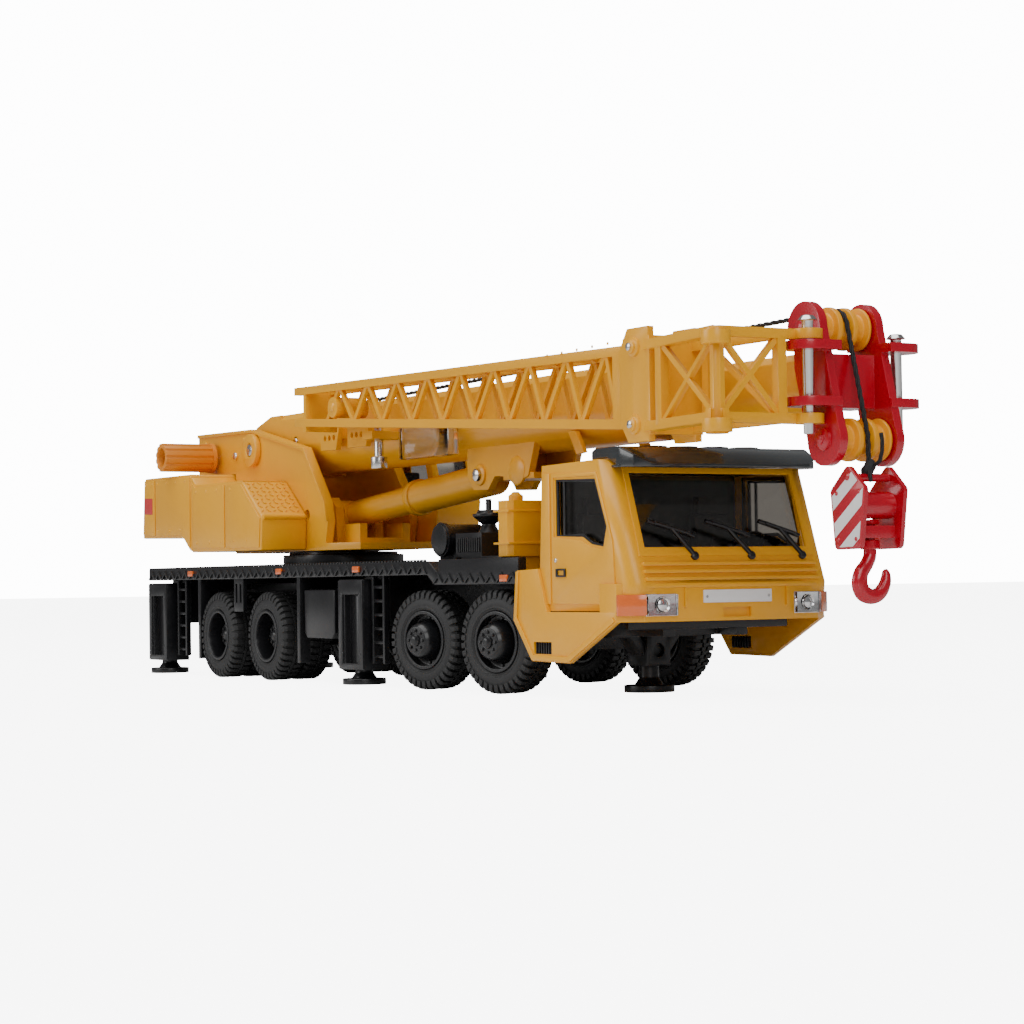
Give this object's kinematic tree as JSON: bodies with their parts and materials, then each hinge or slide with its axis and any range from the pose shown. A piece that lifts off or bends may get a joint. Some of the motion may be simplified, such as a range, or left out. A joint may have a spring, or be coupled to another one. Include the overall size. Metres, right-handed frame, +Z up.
{
  "type": "toy crane truck",
  "caption": "Die-cast toy truck crane: telescoping boom with lattice jib, luffing cylinder, slewing deck, steered and twin wheels, outriggers and a hook block.",
  "frame": {"origin": "on the ground under the slewing axis", "axes": "+X forwards to the driver's cab, +Y to the truck's left, +Z up"},
  "size_m": [0.3074, 0.0657, 0.0796],
  "materials": {
    "chassis_black": "satin",
    "yellow_paint": "glossy",
    "yellow_plastic": "satin",
    "red_paint": "glossy",
    "visor_grey": "glossy",
    "tyre": "matte",
    "chrome": "polished",
    "glass": "clear",
    "lamp_lens": "clear lens",
    "interior": "satin",
    "cord": "braided"
  },
  "bodies": {
    "chassis": {"chassis_frame": "chassis_black", "deck": "chassis_black", "slew_ring": "chassis_black", "engine_group": "chassis_black", "coolant_tank": "yellow_paint", "side_boxes": "chassis_black", "cab_shell": "yellow_paint", "cab_glass": "glass", "cab_interior": "interior", "visor": "visor_grey", "bumper": "yellow_paint", "lamps": "lamp_lens"},
    "rear_axle_first": {"wheelset_rear_first": "chassis_black", "tyres_rear_first": "tyre"},
    "rear_axle_second": {"wheelset_rear_second": "chassis_black", "tyres_rear_second": "tyre"},
    "front_jack": {"front_jack": "chassis_black"},
    "superstructure": {"turntable": "yellow_paint", "counterweight": "yellow_paint", "deck_boxes": "yellow_paint", "operator_cab": "yellow_paint", "superstructure_pins": "chrome"},
    "winch": {"winch_drum": "chrome", "winch_knob": "yellow_plastic"},
    "lift_rod": {"lift_rod": "yellow_paint"},
    "lift_sleeve": {"lift_sleeve": "yellow_paint"},
    "boom_base": {"boom_base": "yellow_paint"},
    "boom_mid": {"boom_mid": "yellow_paint"},
    "boom_tip": {"boom_tip": "yellow_paint", "boom_head": "red_paint", "head_pins": "chrome", "rope_run": "cord"},
    "top_sheaves": {"top_sheaves": "yellow_plastic"},
    "low_sheaves": {"low_sheaves": "yellow_plastic"},
    "jib": {"jib_base": "yellow_paint", "jib_lattice": "yellow_paint"},
    "stow_pin": {"jib_stow_pin": "chrome"},
    "hoist_rope": {"rope_fall": "cord"},
    "hook_block": {"hook_block": "red_paint"},
    "hook": {"hook": "red_paint"},
    "knuckle_first_left": {"knuckle_first_left": "chassis_black"},
    "wheel_first_left": {"rim_first_left": "chassis_black", "tyre_first_left": "tyre"},
    "knuckle_first_right": {"knuckle_first_right": "chassis_black"},
    "wheel_first_right": {"rim_first_right": "chassis_black", "tyre_first_right": "tyre"},
    "knuckle_second_left": {"knuckle_second_left": "chassis_black"},
    "wheel_second_left": {"rim_second_left": "chassis_black", "tyre_second_left": "tyre"},
    "knuckle_second_right": {"knuckle_second_right": "chassis_black"},
    "wheel_second_right": {"rim_second_right": "chassis_black", "tyre_second_right": "tyre"},
    "beam_rear_left": {"beam_rear_left": "chassis_black"},
    "jack_rear_left": {"jack_rear_left": "chassis_black"},
    "beam_rear_right": {"beam_rear_right": "chassis_black"},
    "jack_rear_right": {"jack_rear_right": "chassis_black"},
    "beam_mid_left": {"beam_mid_left": "chassis_black"},
    "jack_mid_left": {"jack_mid_left": "chassis_black"},
    "beam_mid_right": {"beam_mid_right": "chassis_black"},
    "jack_mid_right": {"jack_mid_right": "chassis_black"}
  },
  "joints": [
    {"name": "rear_axle_first_spin", "type": "hinge", "parent": "chassis", "child": "rear_axle_first", "pos_m": [-0.0241, 0, 0.01176], "axis": [0, 1, 0], "continuous": true},
    {"name": "rear_axle_second_spin", "type": "hinge", "parent": "chassis", "child": "rear_axle_second", "pos_m": [0.0069, 0, 0.01176], "axis": [0, 1, 0], "continuous": true},
    {"name": "steer_first_left", "type": "hinge", "parent": "chassis", "child": "knuckle_first_left", "pos_m": [0.1238, 0.0165, 0.01176], "axis": [0, 0, 1], "range_deg": [-30, 6]},
    {"name": "wheel_first_left_spin", "type": "hinge", "parent": "knuckle_first_left", "child": "wheel_first_left", "pos_m": [0.1222, 0.0229, 0.01176], "axis": [-0.2419, 0.9703, 0], "continuous": true},
    {"name": "steer_first_right", "type": "hinge", "parent": "chassis", "child": "knuckle_first_right", "pos_m": [0.1238, -0.0165, 0.01176], "axis": [0, 0, 1], "range_deg": [-30, 6]},
    {"name": "wheel_first_right_spin", "type": "hinge", "parent": "knuckle_first_right", "child": "wheel_first_right", "pos_m": [0.1254, -0.0229, 0.01176], "axis": [-0.2419, 0.9703, 0], "continuous": true},
    {"name": "steer_second_left", "type": "hinge", "parent": "chassis", "child": "knuckle_second_left", "pos_m": [0.0903, 0.0165, 0.01176], "axis": [0, 0, 1], "range_deg": [-30, 6]},
    {"name": "wheel_second_left_spin", "type": "hinge", "parent": "knuckle_second_left", "child": "wheel_second_left", "pos_m": [0.0887, 0.0229, 0.01176], "axis": [-0.2419, 0.9703, 0], "continuous": true},
    {"name": "steer_second_right", "type": "hinge", "parent": "chassis", "child": "knuckle_second_right", "pos_m": [0.0903, -0.0165, 0.01176], "axis": [0, 0, 1], "range_deg": [-30, 6]},
    {"name": "wheel_second_right_spin", "type": "hinge", "parent": "knuckle_second_right", "child": "wheel_second_right", "pos_m": [0.0919, -0.0229, 0.01176], "axis": [-0.2419, 0.9703, 0], "continuous": true},
    {"name": "beam_rear_left_slide", "type": "slide", "parent": "chassis", "child": "beam_rear_left", "axis": [0, 1, 0], "range_m": [0, 0.03]},
    {"name": "jack_rear_left_slide", "type": "slide", "parent": "beam_rear_left", "child": "jack_rear_left", "axis": [0, 0, 1], "range_m": [-0.006, 0]},
    {"name": "beam_rear_right_slide", "type": "slide", "parent": "chassis", "child": "beam_rear_right", "axis": [0, -1, 0], "range_m": [0, 0.03]},
    {"name": "jack_rear_right_slide", "type": "slide", "parent": "beam_rear_right", "child": "jack_rear_right", "axis": [0, 0, 1], "range_m": [-0.006, 0]},
    {"name": "beam_mid_left_slide", "type": "slide", "parent": "chassis", "child": "beam_mid_left", "axis": [0, 1, 0], "range_m": [0, 0.03]},
    {"name": "jack_mid_left_slide", "type": "slide", "parent": "beam_mid_left", "child": "jack_mid_left", "axis": [0, 0, 1], "range_m": [-0.006, 0]},
    {"name": "beam_mid_right_slide", "type": "slide", "parent": "chassis", "child": "beam_mid_right", "axis": [0, -1, 0], "range_m": [0, 0.03]},
    {"name": "jack_mid_right_slide", "type": "slide", "parent": "beam_mid_right", "child": "jack_mid_right", "axis": [0, 0, 1], "range_m": [-0.006, 0]},
    {"name": "front_jack_slide", "type": "slide", "parent": "chassis", "child": "front_jack", "axis": [0, 0, 1], "range_m": [-0.006, 0]},
    {"name": "slew", "type": "hinge", "parent": "chassis", "child": "superstructure", "pos_m": [0, 0, 0.0343], "axis": [0, 0, 1], "continuous": true},
    {"name": "winch_spin", "type": "hinge", "parent": "superstructure", "child": "winch", "pos_m": [-0.054, 0, 0.0622], "axis": [0, 1, 0], "continuous": true},
    {"name": "luff", "type": "hinge", "parent": "superstructure", "child": "boom_base", "pos_m": [-0.0277, 0, 0.0631], "axis": [0, -1, 0], "range_deg": [0, 55]},
    {"name": "lift_foot", "type": "hinge", "parent": "superstructure", "child": "lift_rod", "pos_m": [0.0053, 0, 0.0439], "axis": [0, -1, 0], "range_deg": [0, 63.12]},
    {"name": "lift_slide", "type": "slide", "parent": "lift_rod", "child": "lift_sleeve", "axis": [0.9961, 0, 0.0878], "range_m": [0, 0.03249]},
    {"name": "extend_mid", "type": "slide", "parent": "boom_base", "child": "boom_mid", "axis": [1, 0, 0], "range_m": [0, 0.09]},
    {"name": "extend_tip", "type": "slide", "parent": "boom_mid", "child": "boom_tip", "axis": [1, 0, 0], "range_m": [0, 0.09]},
    {"name": "top_sheaves_spin", "type": "hinge", "parent": "boom_tip", "child": "top_sheaves", "pos_m": [0.2162, 0, 0.0744], "axis": [0, 1, 0], "continuous": true},
    {"name": "low_sheaves_spin", "type": "hinge", "parent": "boom_tip", "child": "low_sheaves", "pos_m": [0.222, 0, 0.052], "axis": [0, 1, 0], "continuous": true},
    {"name": "jib_swing", "type": "hinge", "parent": "boom_tip", "child": "jib", "pos_m": [0.2214, -0.011, 0.064], "axis": [0, 0, 1], "range_deg": [0, 110]},
    {"name": "stow_pin_slide", "type": "slide", "parent": "boom_base", "child": "stow_pin", "axis": [0, 0, 1], "range_m": [-0.006, 0]},
    {"name": "hoist_swing", "type": "hinge", "parent": "boom_tip", "child": "hoist_rope", "pos_m": [0.222, 0, 0.052], "axis": [0, -1, 0], "range_deg": [-55, 0]},
    {"name": "hoist", "type": "slide", "parent": "hoist_rope", "child": "hook_block", "axis": [0, 0, 1], "range_m": [-0.02, 0], "deforming": ["rope_fall"]},
    {"name": "hook_swivel", "type": "hinge", "parent": "hook_block", "child": "hook", "pos_m": [0.2256, 0, 0.033], "axis": [0, 0, 1], "continuous": true}
  ],
  "couplings": [
    {"joint": "lift_foot", "follows": "luff", "ratio": 1.1475},
    {"joint": "lift_slide", "follows": "luff", "m_per_rad": 0.03384},
    {"joint": "hoist_swing", "follows": "luff", "ratio": -1},
    {"joint": "extend_tip", "follows": "extend_mid", "ratio": 1},
    {"joint": "steer_first_right", "follows": "steer_first_left", "ratio": 1},
    {"joint": "steer_second_left", "follows": "steer_first_left", "ratio": 1},
    {"joint": "steer_second_right", "follows": "steer_first_left", "ratio": 1}
  ]
}
